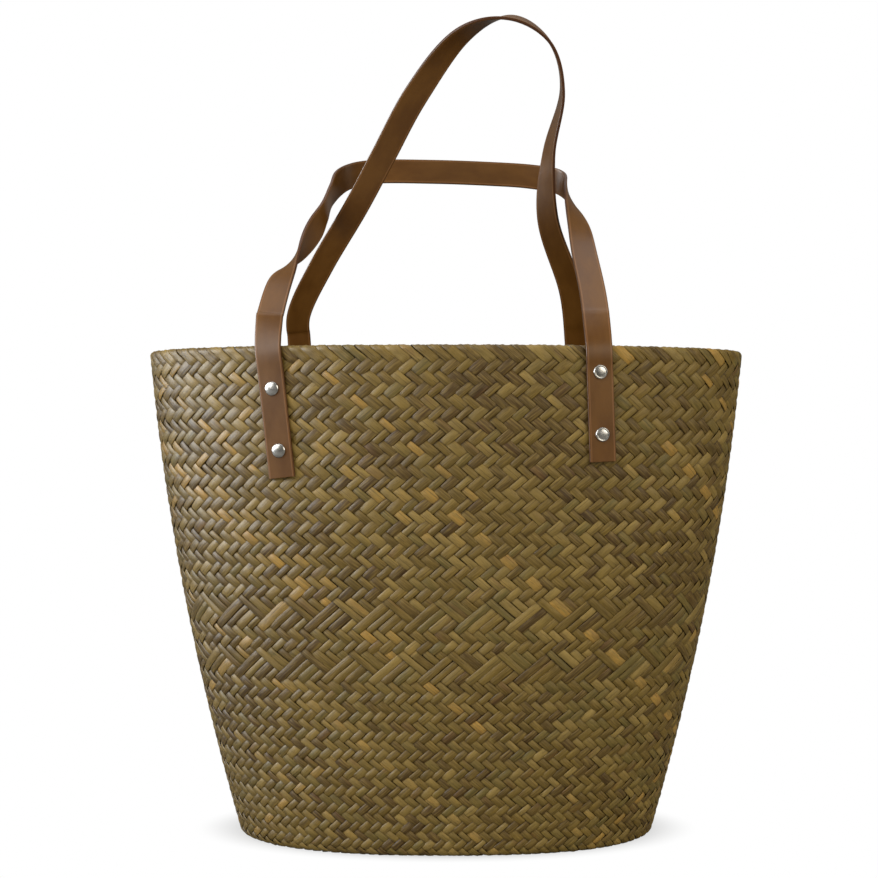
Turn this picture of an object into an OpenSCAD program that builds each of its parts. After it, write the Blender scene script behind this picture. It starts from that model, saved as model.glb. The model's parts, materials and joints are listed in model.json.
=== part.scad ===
// Plaited beach bag with two riveted strap handles.
// The origin is the middle of the base, +Z is up and the front faces -Y.

/* [Body] */
// Height of the body, from the floor to the top of the rim
body_height = 341; // [284:1:410]
// Width across the mouth
mouth_width = 424; // [370:1:510]
// Depth of the mouth, front to back
mouth_depth = 160; // [135:1:195]
// Width of the base
base_width = 292; // [260:1:350]
// Depth of the base, front to back
base_depth = 130; // [115:1:156]
// How far the two narrow sides bow outwards, halfway up
side_bow = 8.5; // [0:0.5:14]
// How far the front and the back bow outwards, halfway up
face_bow = 3; // [0:0.5:6]
// Roundness of the oval at the base: 2 is an ellipse, more is boxier
base_roundness = 2.4; // [2:0.1:3]
// Roundness of the oval at the mouth
mouth_roundness = 2.2; // [2:0.1:3]
// Radius of the bend where the base turns up into the wall
foot_radius = 8; // [2:0.5:10]
// Thickness of the plaited wall
wall_thickness = 3; // [2:0.1:5]
// Thickness of the plaited base
base_thickness = 4; // [2:0.1:6]

/* [Rim] */
// Height of the strip ends folded over the rim
rim_height = 10; // [6:0.5:10.5]
// Thickness of the folded rim
rim_thickness = 5.5; // [4:0.1:9]

/* [Straps] */
// Width of the strap
strap_width = 18; // [14:0.5:24]
// Thickness of the strap
strap_thickness = 2.2; // [1.5:0.1:3.5]
// Distance between the two legs of a handle, at the rim
leg_spacing = 217; // [180:1:262]
// Sideways shift of the front handle from the middle of the bag
front_shift = -9; // [-12:1:12]
// Sideways shift of the rear handle from the middle of the bag
rear_shift = -5; // [-12:1:12]
// Length of the left strap ends, below the rim
left_end_length = 88; // [78:1:106]
// Length of the right strap ends, below the rim
right_end_length = 77; // [76:1:106]
// Lean of the left strap ends away from upright, in degrees
left_end_lean = 6.3; // [0:0.1:8]
// Lean of the right strap ends away from upright, in degrees
right_end_lean = 2.2; // [0:0.1:8]

/* [Rivets] */
// Distance between the two rivets of a strap end
rivet_spacing = 41; // [33:0.5:42]
// Distance from the lower rivet to the cut end of the strap
rivet_margin = 18; // [7:0.5:18.5]
// Diameter of the cap on the outside
cap_diameter = 9.5; // [7:0.1:12]
// Height of the cap above the strap
cap_height = 1.8; // [1:0.1:3]
// Diameter of the post through strap, wall and patch
post_diameter = 4; // [3:0.1:5]
// Diameter of the washer on the inside
washer_diameter = 9; // [7:0.1:12]
// Thickness of the washer
washer_thickness = 1; // [0.6:0.1:2]

/* [Backing patches] */
// Width of the patch behind each strap end
patch_width = 18; // [13:0.5:24]
// Thickness of the patch
patch_thickness = 1.5; // [1:0.1:3]
// How far the patch runs past the rivets, at each end
patch_margin = 5; // [4:0.1:5]

/* [Handles] */
// Height of the front handle above the rim
front_rise = 141; // [118:1:170]
// Height of the rear handle above the rim
rear_rise = 228; // [190:1:275]
// Lean of the front handle towards the back, in degrees
front_lean = 41; // [40.5:0.5:42]
// Lean of the rear handle towards the front, in degrees
rear_lean = 26.5; // [26:0.5:27.5]
// Height of the bend of the straps above the rim
bend_rise = 8; // [7:0.5:12]

/* [Clearances] */
// Gap between the curved wall and what lies flat on it
face_gap = 0.2; // [0.1:0.05:0.5]
// Gap around a rivet's post
post_gap = 0.05; // [0.02:0.01:0.1]
// Gap around the rolled end of a handle in its strap end
bend_gap = 0.3; // [0.3:0.05:0.6]
// Gap between the edge of the base and the wall around it
base_gap = 0.2; // [0.1:0.05:0.5]

/* [Hidden] */
FRONT = -1;
REAR = 1;
LEFT = -1;
RIGHT = 1;
// Name, side and hand of each strap end
ENDS = [
    ["front_left", FRONT, LEFT],
    ["front_right", FRONT, RIGHT],
    ["rear_left", REAR, LEFT],
    ["rear_right", REAR, RIGHT]
];
RIVETS = ["lower", "upper"];

$fn = 48;
// Corners around the oval, and rings between the base and the rim fold
oval_steps = 88;
wall_rings = 14;
// Sections between two points of a handle's route
route_steps = 4;
// Half the size of the roll at the foot of a handle, and the straight stub below it
roll_radius = strap_thickness / 2 + 0.25;
stub_length = 3;
// The bend of a strap end is hulled from two thin slices, set into the strap by a root
// and drawn in a little from its faces
slice = 0.2;
neck_root = 1.5;
neck_ease = 0.1;

// Routes of the handles in their own leaning planes. Each point is: across, as a share
// of half the leg spacing; up, as a share of the height from bend to top; and the turn
// of the strap about its own run, 0 or 180 flat in the plane and 90 edge-on.
FRONT_ROUTE = [
    [-1, 0, 180], [-1, 0.1, 180], [-0.96, 0.31, 165], [-0.86, 0.47, 95], [-0.79, 0.6, 70],
    [-0.735, 0.72, 85], [-0.7, 0.84, 90], [-0.62, 0.95, 62], [-0.42, 1, 41], [0, 1, 41],
    [0.4, 0.985, 41], [0.68, 0.965, 44], [0.87, 0.925, 70], [0.925, 0.82, 115],
    [0.965, 0.65, 155], [0.98, 0.45, 178], [1, 0.22, 180], [1, 0, 180]
];
REAR_ROUTE = [
    [-1, 0, 0], [-1, 0.12, 0], [-0.82, 0.28, 0], [-0.57, 0.46, 0], [-0.38, 0.61, 0],
    [-0.15, 0.79, 10], [0.14, 0.95, 45], [0.45, 1, 90], [0.71, 0.935, 90],
    [0.805, 0.8, 90], [0.735, 0.62, 70], [0.75, 0.42, 35], [0.93, 0.2, 10], [1, 0, 0]
];

// ---- Vectors ----

function unit(v) = v / norm(v);

// Places children so that their x, y and z run along three unit vectors
module in_frame(origin, x_axis, y_axis, z_axis) {
    multmatrix([
        [x_axis.x, y_axis.x, z_axis.x, origin.x],
        [x_axis.y, y_axis.y, z_axis.y, origin.y],
        [x_axis.z, y_axis.z, z_axis.z, origin.z],
        [0, 0, 0, 1]
    ]) children();
}

// ---- Shape of the woven body ----

function foot_inset(z) = z >= foot_radius ? 0
    : foot_radius - sqrt(pow(foot_radius, 2) - pow(foot_radius - z, 2));

// A half size at height z that grows from base to mouth and bows out between them
function flared(at_base, at_mouth, bow, z) = let (t = z / body_height)
    at_base + (at_mouth - at_base) * t + 4 * bow * t * (1 - t) - foot_inset(z);

function half_width(z) = flared(base_width / 2, mouth_width / 2, side_bow, z);
function half_depth(z) = flared(base_depth / 2, mouth_depth / 2, face_bow, z);
function roundness(z) = base_roundness + (mouth_roundness - base_roundness) * z / body_height;

// Corners of the oval at height z, drawn in by an inset
function oval(z, inset) = [
    for (i = [0 : oval_steps - 1])
        let (a = 360 * i / oval_steps, power = 2 / roundness(z))
        [
            (half_width(z) - inset) * sign(cos(a)) * pow(abs(cos(a)), power),
            (half_depth(z) - inset) * sign(sin(a)) * pow(abs(sin(a)), power)
        ]
];

function ring(z, inset) = [for (p = oval(z, inset)) [p.x, p.y, z]];

// Distance of the wall's surface from the bag's middle plane, at x and z
function wall_y(x, z, inset) = (half_depth(z) - inset)
    * pow(1 - pow(abs(x) / (half_width(z) - inset), roundness(z)), 1 / roundness(z));

// Closed solid through a loop of rings, each ring with the same number of corners
module looped_rings(rings) {
    count = len(rings);
    corners = len(rings[0]);
    points = [for (r = rings) each r];
    faces = [
        for (i = [0 : count - 1], j = [0 : corners - 1])
            let (
                a = i * corners + j,
                b = i * corners + (j + 1) % corners,
                c = ((i + 1) % count) * corners + (j + 1) % corners,
                d = ((i + 1) % count) * corners + j
            )
            each [[a, d, c], [a, c, b]]
    ];
    polyhedron(points, faces);
}

// ---- Frames of the strap ends ----

function side(e) = e[1];
function shift(e) = side(e) == FRONT ? front_shift : rear_shift;
function leg_x(e) = shift(e) + e[2] * leg_spacing / 2;
function end_length(e) = e[2] == LEFT ? left_end_length : right_end_length;
function end_lean(e) = e[2] == LEFT ? left_end_lean : right_end_lean;

function wall_point(e, x, z, inset) = [x, side(e) * wall_y(x, z, inset), z];
function end_top(e) = wall_point(e, leg_x(e), body_height, 0);
function end_foot(e) = wall_point(
    e,
    leg_x(e) + sin(end_lean(e)) * end_length(e),
    body_height - cos(end_lean(e)) * end_length(e),
    0
);
function end_middle(e) = (end_top(e) + end_foot(e)) / 2;
function end_half(e) = norm(end_top(e) - end_foot(e)) / 2;
function end_up(e) = unit(end_top(e) - end_foot(e));

// Outward direction, square to the strap end and to the wall across it
function end_out(e) = let (
    m = end_middle(e),
    edge_a = wall_point(e, m.x - strap_width / 2, m.z, 0),
    edge_b = wall_point(e, m.x + strap_width / 2, m.z, 0)
) side(e) * unit(cross(end_up(e), unit(edge_b - edge_a)));

// How far the wall stands out under the strap end, at points all over it
function stand_out(e, width, inset) = [
    for (across = [-0.5, 0, 0.5], up = [-1 : 0.25 : 1])
        let (
            sideways = cross(end_out(e), end_up(e)) * across * width,
            flat = end_middle(e) + sideways + end_up(e) * up * end_half(e),
            p = wall_point(e, flat.x, min(flat.z, body_height), inset)
        )
        (p - end_middle(e)) * end_out(e)
];

// Faces of the stack, measured along the outward direction
function strap_back(e) = max(stand_out(e, strap_width, 0)) + face_gap;
function strap_face(e) = strap_back(e) + strap_thickness;
function patch_face(e) = min(stand_out(e, patch_width, wall_thickness)) - face_gap;
function patch_back(e) = patch_face(e) - patch_thickness;
function washer_back(e) = patch_back(e) - washer_thickness;

// Height of each rivet in the strap end's frame
function rivet_up(e, i) = rivet_margin + i * rivet_spacing - end_half(e);

// Puts children into the strap end's frame: y is outwards and z runs up the strap
module on_end(e) {
    in_frame(end_middle(e), cross(end_out(e), end_up(e)), end_out(e), end_up(e)) children();
}

// A cylinder along the outward direction, at a rivet of the strap end
module rivet_rod(e, i, diameter, low, high) {
    translate([0, high, rivet_up(e, i)])
        rotate([90, 0, 0])
            cylinder(d = diameter, h = high - low);
}

module post_holes(e) {
    on_end(e)
        for (i = [0, 1])
            rivet_rod(e, i, post_diameter + 2 * post_gap, washer_back(e) - 1, strap_face(e) + 1);
}

// ---- Frames of the handles ----

function lean(s) = s == FRONT ? front_lean : rear_lean;
function rise(s) = s == FRONT ? front_rise : rear_rise;
function handle_shift(s) = s == FRONT ? front_shift : rear_shift;
function handle_ends(s) = [for (e = ENDS) if (side(e) == s) e];

// Both legs of a handle bend on one line along X, midway between the tops of its ends
function strap_middle_y(e) = end_top(e).y
    + end_out(e).y * (strap_back(e) + strap_thickness / 2);
function bend_y(s) = let (ends = handle_ends(s))
    (strap_middle_y(ends[0]) + strap_middle_y(ends[1])) / 2;
function bend_point(s, x) = [x, bend_y(s), body_height + bend_rise];

// Up the leaning plane of a handle, and square to it towards the back
function plane_up(s) = [0, -s * sin(lean(s)), cos(lean(s))];
function plane_back(s) = cross(plane_up(s), [1, 0, 0]);

// A smooth curve through the points, with the same number of steps between each two
function spline_at(p0, p1, p2, p3, t) = 0.5 * (
    2 * p1 + (p2 - p0) * t
    + (2 * p0 - 5 * p1 + 4 * p2 - p3) * t * t
    + (3 * p1 - p0 - 3 * p2 + p3) * t * t * t
);
function smooth(points) = let (last = len(points) - 1) [
    for (i = [0 : last - 1], k = [0 : route_steps - 1])
        let (
            p1 = points[i],
            p2 = points[i + 1],
            p0 = i == 0 ? 2 * p1 - p2 : points[i - 1],
            p3 = i + 1 == last ? 2 * p2 - p1 : points[i + 2]
        )
        spline_at(p0, p1, p2, p3, k / route_steps),
    points[last]
];

// Route points in millimetres: across, up the plane and turn
function sized_route(s, route) = let (
    half = leg_spacing / 2,
    height = (rise(s) - bend_rise) / cos(lean(s))
) [for (p = route) [p[0] * half, p[1] * height, p[2]]];

// Direction of the run at point i, upright at both feet
function run_at(curve, i) = let (last = len(curve) - 1)
    i == 0 ? [0, 1]
    : i == last ? [0, -1]
    : unit([curve[i + 1].x - curve[i - 1].x, curve[i + 1].y - curve[i - 1].y]);

// The four corners of the strap at point i of the curve
function strap_section(s, curve, i) = let (
    run = run_at(curve, i),
    turn = curve[i].z,
    x_dir = [1, 0, 0],
    along = x_dir * run.x + plane_up(s) * run.y,
    flat = x_dir * run.y - plane_up(s) * run.x,
    wide = (flat * cos(turn) + plane_back(s) * sin(turn)) * strap_width / 2,
    thick = unit(cross(along, wide)) * strap_thickness / 2,
    middle = bend_point(s, handle_shift(s) + curve[i].x) + plane_up(s) * curve[i].y
) [middle - wide - thick, middle + wide - thick, middle + wide + thick, middle - wide + thick];

// ---- Sub-parts of the body ----

module woven_wall() {
    top = body_height - rim_height;
    foot_levels = [for (k = [0 : 3]) foot_radius * (1 - cos(k * 30))];
    wall_levels = [for (k = [1 : wall_rings]) foot_radius + (top - foot_radius) * k / wall_rings];
    levels = concat(foot_levels, wall_levels);
    last = len(levels) - 1;
    color("darkkhaki")
        difference() {
            looped_rings(concat(
                [for (i = [0 : last]) ring(levels[i], 0)],
                [for (i = [last : -1 : 0]) ring(levels[i], wall_thickness)]
            ));
            for (e = ENDS)
                post_holes(e);
        }
}

module woven_base() {
    color("darkkhaki")
        linear_extrude(base_thickness)
            polygon(oval(0, wall_thickness + base_gap));
}

module rim_fold() {
    low = body_height - rim_height;
    rounding = rim_thickness / 2;
    arc = [for (a = [0 : 30 : 180]) [rounding - rounding * cos(a), rounding * sin(a)]];
    color("darkkhaki")
        looped_rings(concat(
            [ring(low, 0)],
            [for (p = arc) ring(body_height - rounding + p.y, p.x)],
            [ring(low, rim_thickness)]
        ));
}

// ---- Sub-parts of the fixings ----

// The riveted end of a strap, and its bend over to the foot of the handle
module strap_end(e) {
    s = side(e);
    foot = bend_point(s, leg_x(e));
    color("saddlebrown")
        difference() {
            union() {
                on_end(e)
                    strap_block(strap_back(e) + strap_thickness / 2, -end_half(e), end_half(e), 0);
                strap_stub(s, foot)
                    strap_block(0, -stub_length, 0, 0);
                hull() {
                    on_end(e)
                        strap_block(
                            strap_back(e) + strap_thickness / 2,
                            end_half(e) - neck_root,
                            end_half(e) - neck_root + slice,
                            neck_ease
                        );
                    strap_stub(s, foot)
                        strap_block(0, -stub_length / 2, slice - stub_length / 2, neck_ease);
                }
            }
            post_holes(e);
            translate(foot)
                rotate([0, 90, 0])
                    cylinder(r = roll_radius + bend_gap, h = 2 * strap_width, center = true);
        }
}

// Puts children into the handle's plane at its bend line: z runs up the plane
module strap_stub(s, foot) {
    in_frame(foot, [1, 0, 0], plane_back(s), cross([1, 0, 0], plane_back(s))) children();
}

// A straight length of strap, with its middle at y and its sides drawn in by an inset
module strap_block(y, low, high, inset) {
    translate([inset - strap_width / 2, y + inset - strap_thickness / 2, low])
        cube([strap_width - 2 * inset, strap_thickness - 2 * inset, high - low]);
}

module patch(e) {
    color("sienna")
        difference() {
            on_end(e)
                translate([-patch_width / 2, patch_back(e), rivet_up(e, 0) - patch_margin])
                    cube([patch_width, patch_thickness, rivet_spacing + 2 * patch_margin]);
            post_holes(e);
        }
}

// A domed cap on the strap and the post under it
module rivet(e, i) {
    cap_radius = cap_diameter / 2;
    dome_radius = (pow(cap_radius, 2) + pow(cap_height, 2)) / (2 * cap_height);
    color("silver")
        on_end(e) {
            rivet_rod(e, i, post_diameter, washer_back(e), strap_face(e) + cap_height / 2);
            intersection() {
                translate([0, strap_face(e) + cap_height - dome_radius, rivet_up(e, i)])
                    sphere(r = dome_radius);
                rivet_rod(e, i, cap_diameter + 1, strap_face(e), strap_face(e) + cap_height + 1);
            }
        }
}

module washer(e, i) {
    color("silver")
        on_end(e)
            difference() {
                rivet_rod(e, i, washer_diameter, washer_back(e), patch_back(e));
                rivet_rod(e, i, post_diameter + 2 * post_gap, washer_back(e) - 1, patch_back(e) + 1);
            }
}

// ---- Handles ----

// The free loop of a strap, with a roll at each foot on which it bends
module handle(s, route) {
    curve = smooth(sized_route(s, route));
    last = len(curve) - 1;
    sections = [for (i = [0 : last]) strap_section(s, curve, i)];
    sides = [
        for (i = [0 : last - 1], j = [0 : 3])
            let (a = 4 * i + j, b = 4 * i + (j + 1) % 4)
            each [[a, a + 4, b + 4], [a, b + 4, b]]
    ];
    caps = [[0, 1, 2], [0, 2, 3], [4 * last + 2, 4 * last + 1, 4 * last],
        [4 * last + 3, 4 * last + 2, 4 * last]];
    color("saddlebrown") {
        polyhedron([for (section = sections) each section], concat(sides, caps));
        for (hand = [LEFT, RIGHT])
            translate(bend_point(s, handle_shift(s) + hand * leg_spacing / 2))
                rotate([0, 90, 0])
                    cylinder(r = roll_radius, h = strap_width, center = true);
    }
}

// ---- The assembly ----

woven_wall();
woven_base();
rim_fold();
for (e = ENDS) {
    strap_end(e);
    patch(e);
    for (i = [0, 1]) {
        rivet(e, i);
        washer(e, i);
    }
}
handle(FRONT, FRONT_ROUTE);  // front_handle
handle(REAR, REAR_ROUTE);  // rear_handle
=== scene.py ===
import json
import math
import random

import bpy
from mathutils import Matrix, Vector


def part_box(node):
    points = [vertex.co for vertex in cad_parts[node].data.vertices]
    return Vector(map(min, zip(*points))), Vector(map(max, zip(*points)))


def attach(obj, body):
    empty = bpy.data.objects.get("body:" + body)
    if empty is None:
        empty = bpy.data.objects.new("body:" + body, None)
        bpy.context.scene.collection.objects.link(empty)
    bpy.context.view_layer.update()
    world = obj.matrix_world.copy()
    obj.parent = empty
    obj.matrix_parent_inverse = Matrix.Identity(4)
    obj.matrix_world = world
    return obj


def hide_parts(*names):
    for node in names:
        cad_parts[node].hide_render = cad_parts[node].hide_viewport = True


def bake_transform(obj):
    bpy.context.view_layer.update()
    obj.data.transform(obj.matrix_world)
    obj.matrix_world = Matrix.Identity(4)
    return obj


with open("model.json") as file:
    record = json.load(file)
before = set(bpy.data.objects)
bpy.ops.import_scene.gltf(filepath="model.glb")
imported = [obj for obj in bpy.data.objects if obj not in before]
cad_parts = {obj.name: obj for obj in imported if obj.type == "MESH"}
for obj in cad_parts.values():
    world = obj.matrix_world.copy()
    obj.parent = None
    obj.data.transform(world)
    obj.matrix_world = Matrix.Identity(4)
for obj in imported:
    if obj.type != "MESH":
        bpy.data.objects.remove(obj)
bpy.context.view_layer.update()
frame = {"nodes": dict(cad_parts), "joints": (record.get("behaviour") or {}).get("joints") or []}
scene = bpy.context.scene


# ---- Camera ----
# A level camera in front of the bag, a little left of its middle and at four fifths of
# the body's height.
camera_data = bpy.data.cameras.new("camera")
camera_data.sensor_width = 36
camera_data.lens = 45.92
camera_data.clip_end = 60
camera = bpy.data.objects.new("camera", camera_data)
camera.location = (-0.005, -0.808, 0.279)
camera.rotation_euler = (math.radians(90), 0, 0)
scene.collection.objects.link(camera)
scene.camera = camera
scene.view_settings.view_transform = "Standard"


# ---- Floor, surround and lamps ----
# A plain floor that fades into a white surround, with a painted grey shadow round the foot. A
# large soft lamp at the upper left, like a window, a second beside it that shows only in gloss,
# a warm one at the right and a weak one overhead.
class Field:
    """A node's output that adds and compares like a number, by making Math nodes."""

    def __init__(self, socket):
        self.socket = socket

    def do(self, operation, *others):
        node = self.socket.id_data.nodes.new("ShaderNodeMath")
        node.operation = operation
        for value, socket in zip((self, *others), node.inputs):
            feed(socket, value)
        return Field(node.outputs[0])

    def __add__(self, other):
        return self.do("ADD", other)

    def __sub__(self, other):
        return self.do("SUBTRACT", other)

    def __rsub__(self, other):
        return self.do("MULTIPLY_ADD", -1, other)

    def __mul__(self, other):
        return self.do("MULTIPLY", other)

    def __truediv__(self, other):
        return self.do("DIVIDE", other)

    def __mod__(self, other):
        return self.do("FLOORED_MODULO", other)

    def __pow__(self, other):
        return self.do("POWER", other)

    def __gt__(self, other):
        return self.do("GREATER_THAN", other)

    def __lt__(self, other):
        return self.do("LESS_THAN", other)

    def ease(self, start, end):
        """0 before start, 1 after end, with a smooth rise between them."""
        tree = self.socket.id_data
        names = {"Value": self, "From Min": start, "From Max": end}
        node = place(tree, "ShaderNodeMapRange", names, interpolation_type="SMOOTHSTEP")
        return Field(node.outputs["Result"])


def feed(socket, value):
    """Links a field or an output to an input, or sets the input to a plain value."""
    if isinstance(value, Field):
        value = value.socket
    if isinstance(value, bpy.types.NodeSocket):
        socket.id_data.links.new(value, socket)
    else:
        socket.default_value = value


def place(tree, kind, inputs=None, **settings):
    """A new node with its settings and inputs."""
    node = tree.nodes.new(kind)
    for name, value in settings.items():
        setattr(node, name, value)
    for name, value in (inputs or {}).items():
        feed(node.inputs[name], value)
    return node


def paint(red, green, blue):
    """A colour given as 0 to 255 on a screen, as the linear colour that nodes take."""
    shares = [value / 255 for value in (red, green, blue)]
    return [s / 12.92 if s < 0.04045 else ((s + 0.055) / 1.055) ** 2.4 for s in shares] + [1]


def principled(name):
    """A new material, its tree and its shader."""
    material = bpy.data.materials.new(name)
    material.use_nodes = True
    tree = material.node_tree
    return material, tree, tree.nodes["Principled BSDF"]


surround = bpy.data.worlds.new("surround")
surround.use_nodes = True
scene.world = surround
tree = surround.node_tree
light_path = place(tree, "ShaderNodeLightPath")
ambient = tree.nodes["Background"]
warm_white = (1, 0.97, 0.9, 1)
pure_white = (1, 1, 1, 1)
ambient_strength = 0.25
ambient.inputs["Color"].default_value = warm_white
ambient.inputs["Strength"].default_value = ambient_strength
backdrop = place(tree, "ShaderNodeBackground", {"Color": pure_white, "Strength": 1})
shown = place(
    tree,
    "ShaderNodeMixShader",
    {0: light_path.outputs["Is Camera Ray"], 1: ambient.outputs[0], 2: backdrop.outputs[0]},
)
tree.links.new(shown.outputs[0], tree.nodes["World Output"].inputs["Surface"])

floor_reach = 25
floor_mesh = bpy.data.meshes.new("floor")
floor_mesh.from_pydata(
    [(x * floor_reach, y * floor_reach, 0) for x, y in ((-1, -1), (1, -1), (1, 1), (-1, 1))],
    [],
    [(0, 1, 2, 3)],
)
floor = bpy.data.objects.new("floor", floor_mesh)
scene.collection.objects.link(floor)
floor_paint, tree, board = principled("pale floor")
board.inputs["Base Color"].default_value = (0.32, 0.32, 0.31, 1)
board.inputs["Roughness"].default_value = 0.8
board.inputs["Specular IOR Level"].default_value = 0.1
floor_place = place(tree, "ShaderNodeTexCoord")
foot_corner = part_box("woven_base")[1]
to_foot = (1 / foot_corner[0], 1 / foot_corner[1], 0)
scaled = place(
    tree,
    "ShaderNodeVectorMath",
    {0: floor_place.outputs["Object"], 1: to_foot},
    operation="MULTIPLY",
)
distance = place(tree, "ShaderNodeVectorMath", {0: scaled.outputs["Vector"]}, operation="LENGTH")
# The painted grey shadow round the foot fades out between these distances, where 1 is the edge of the
# foot.
shadow_fade_start, shadow_fade_end = 0.98, 1.35
white_share_in_shadow = 0.6
foot_shadow_fade = Field(distance.outputs["Value"]).ease(shadow_fade_start, shadow_fade_end)
seen = Field(place(tree, "ShaderNodeLightPath").outputs["Is Camera Ray"])
white = place(tree, "ShaderNodeEmission", {"Color": pure_white, "Strength": 1})
shadow_fading = place(tree, "ShaderNodeMixShader", {1: board.outputs[0], 2: white.outputs[0]})
# Near the foot the camera sees less of the white glow and more of the grey board: a painted shadow.
feed(shadow_fading.inputs[0], (foot_shadow_fade * (1 - white_share_in_shadow) + white_share_in_shadow) * seen)
tree.links.new(shadow_fading.outputs[0], tree.nodes["Material Output"].inputs["Surface"])
floor_mesh.materials.append(floor_paint)

lit_point = Vector((0, 0, 0.25))
for name, spot, size, power, tint, matt_light in (
    ("window lamp", (-1.0, -0.75, 0.95), 1.1, 11, (1, 0.98, 0.95), True),
    ("window sheen", (-1.25, -0.38, 0.65), 0.7, 34, (0.93, 0.97, 1), False),
    ("right lamp", (1.6, -1.5, 1.1), 1.4, 17.5, (1, 0.93, 0.8), True),
    ("top lamp", (0, 0.1, 1.9), 1.2, 7, (0.97, 0.98, 1), True),
):
    lamp_data = bpy.data.lights.new(name, "AREA")
    lamp_data.size = size
    lamp_data.energy = power
    lamp_data.color = tint
    lamp = bpy.data.objects.new(name, lamp_data)
    lamp.location = spot
    lamp.visible_diffuse = matt_light
    aim = lit_point - Vector(spot)
    lamp.rotation_euler = aim.to_track_quat("-Z", "Y").to_euler()
    scene.collection.objects.link(lamp)


# ---- Plaited wall ----
# Flat strips of dried sedge leaf, plaited two over and two under in both slants, with two
# bands of longer stepped floats. The wall starts turned under the foot and ends inside the
# rim. A level is one crossing of two strips, so heights are counted in crossings.
strands_each_way = 104
rim_level = 95.5
under_levels = 6
sheet_levels = 112
strip_thickness = 0.00085
strip_crown = 0.0002
weave_height = 0.00078
plait_depth = 0.0013
foot_turn = 0.0065
foot_clearance = 0.0015
rim_turn = 0.0015
rim_clearance = 0.0029
rim_tuck = 0.0012
rim_tuck_run = 0.012
rim_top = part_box("rim_fold")[1][2]
foot_start = foot_clearance + foot_turn
rim_start = rim_top - rim_clearance

# Half the wall's width and depth at each height where the CAD mesh has vertices, without
# the rings that lie inside the outer face.
cad_rings = {}
for node in ("woven_wall", "rim_fold"):
    for vertex in frame["nodes"][node].data.vertices:
        ring = cad_rings.setdefault(round(vertex.co.z, 4), [0, 0])
        ring[0] = max(ring[0], abs(vertex.co.x))
        ring[1] = max(ring[1], abs(vertex.co.y))
ring_heights = []
ring_tolerance = 1e-4
for height in sorted(cad_rings):
    if height <= foot_start - ring_tolerance:
        continue
    while len(ring_heights) > 1:
        first, last = ring_heights[-2:]
        rise_share = (last - first) / (height - first)
        chord = cad_rings[first][0] + (cad_rings[height][0] - cad_rings[first][0]) * rise_share
        if cad_rings[last][0] > chord:
            break
        ring_heights.pop()
    ring_heights.append(height)


def half_sizes(height):
    """Half the wall's outer width and depth at a height, between the CAD wall's rings."""
    height = min(max(height, ring_heights[0]), ring_heights[-1])
    upper = next(i for i in range(1, len(ring_heights)) if height <= ring_heights[i])
    low, high = ring_heights[upper - 1], ring_heights[upper]
    share = (height - low) / (high - low)
    return [a + (b - a) * share for a, b in zip(cad_rings[low], cad_rings[high])]


foot_squareness = 2.4
squareness_loss = 0.2


def outline(height, inset, count, steps=720):
    """Points spread evenly round the wall at a height, counter-clockwise from the back
    middle, moved in by inset."""
    width, depth = half_sizes(height)
    power = 2 / (foot_squareness - squareness_loss * height / rim_top)
    fine = []
    for step in range(steps + 1):
        angle = math.tau * (step / steps + 0.25)
        c, s = math.cos(angle), math.sin(angle)
        x = math.copysign(abs(c) ** power, c) * width
        y = math.copysign(abs(s) ** power, s) * depth
        fine.append(Vector((x, y)))
    inner = []
    for step in range(steps + 1):
        ahead = fine[(step + 1) % steps]
        behind = fine[(step - 1) % steps]
        along = (ahead - behind).normalized()
        inner.append(fine[step] - Vector((along.y, -along.x)) * inset)
    lengths = [0]
    for a, b in zip(inner, inner[1:]):
        lengths.append(lengths[-1] + (b - a).length)
    points = []
    at = 0
    for number in range(count + 1):
        target = lengths[-1] * number / count
        while at < steps - 1 and lengths[at + 1] < target:
            at += 1
        share = (target - lengths[at]) / (lengths[at + 1] - lengths[at])
        points.append(inner[at].lerp(inner[at + 1], share))
    return points, lengths[-1]


height_steps = 240
wall_rise = rim_start - foot_start
heights = [foot_start + wall_rise * i / height_steps for i in range(height_steps + 1)]
levels = [0]
for low, high in zip(heights, heights[1:]):
    girth = outline((low + high) / 2, plait_depth, count=8, steps=240)[1]
    levels.append(levels[-1] + (high - low) / girth)
levels = [level * rim_level / levels[-1] for level in levels]
foot_level = (heights[1] - heights[0]) / (levels[1] - levels[0])
top_level = (heights[-1] - heights[-2]) / (levels[-1] - levels[-2])


def sheet_place(level):
    """Height and inset of the plait's middle surface at a level: under the foot, up the
    wall, over the rim and down inside."""
    if level < 0:
        run = -level * foot_level
        angle = min(run / foot_turn, math.pi / 2)
        beyond = max(0, run - foot_turn * math.pi / 2)
        inset = plait_depth + foot_turn * (1 - math.cos(angle)) + beyond
        return foot_start - foot_turn * math.sin(angle), inset
    if level <= rim_level:
        upper = next((i for i, value in enumerate(levels) if value >= level), height_steps)
        upper = max(1, upper)
        share = (level - levels[upper - 1]) / (levels[upper] - levels[upper - 1])
        height = heights[upper - 1] + (heights[upper] - heights[upper - 1]) * share
        return height, plait_depth
    run = (level - rim_level) * top_level
    angle = min(run / rim_turn, math.pi)
    beyond = max(0, run - rim_turn * math.pi)
    tuck = rim_tuck * min(1, beyond / rim_tuck_run)
    inset = plait_depth + rim_turn * (1 - math.cos(angle)) - tuck
    return rim_start + rim_turn * math.sin(angle) - beyond, inset


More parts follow.
